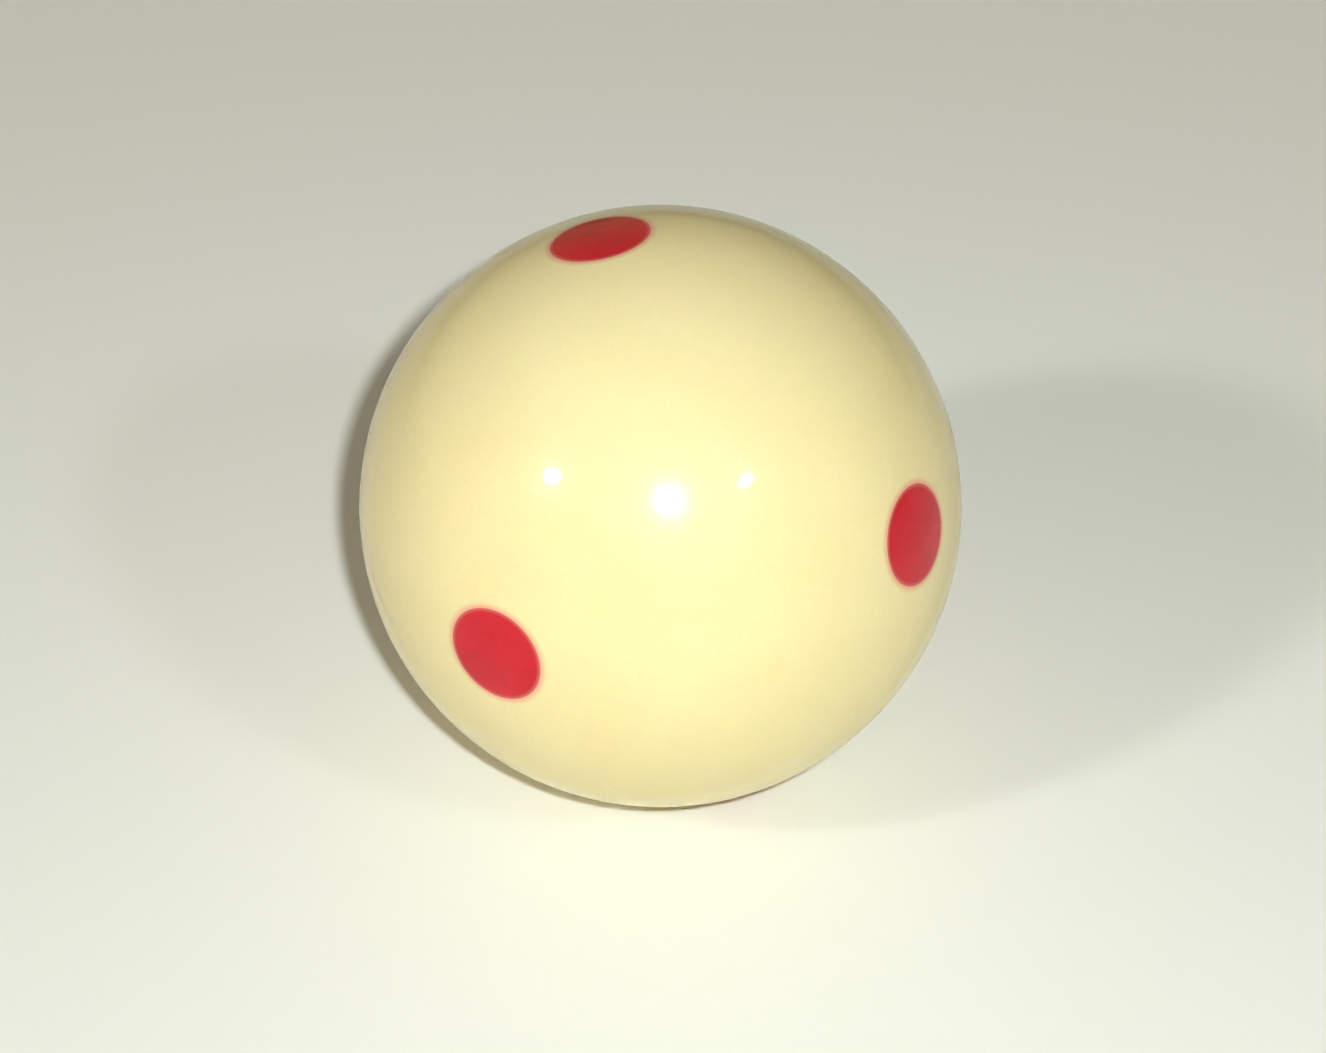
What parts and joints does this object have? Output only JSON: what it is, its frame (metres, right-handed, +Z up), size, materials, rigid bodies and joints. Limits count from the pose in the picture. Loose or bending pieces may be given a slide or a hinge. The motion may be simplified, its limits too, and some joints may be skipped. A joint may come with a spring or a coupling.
{
  "type": "cue ball",
  "caption": "Solid cast resin ball with round red spots let in flush all over it, struck with a cue in pool; the spots show its spin.",
  "frame": {"origin": "centre of the ball", "axes": "+Z up with the ball lying on a level surface, which it touches at rest_point. The picture's camera looks along +Y and 39 degrees down, with +X to its right. The ball is kept in the attitude in which it lies there, so the spots' three axes at right angles are turned from the frame's own by -30.8 degrees about Z, then -16.1 about Y, then -4.4 about X, each about the turned axis."},
  "size_m": [0.0572, 0.0572, 0.0572],
  "materials": {
    "cream_resin": "polished",
    "red_resin": "polished"
  },
  "bodies": {
    "root": {"ball_body": "cream_resin", "spot_inlay_top": "red_resin", "spot_inlay_bottom": "red_resin", "spot_inlay_front": "red_resin", "spot_inlay_back": "red_resin", "spot_inlay_left": "red_resin", "spot_inlay_right": "red_resin"}
  },
  "joints": []
}
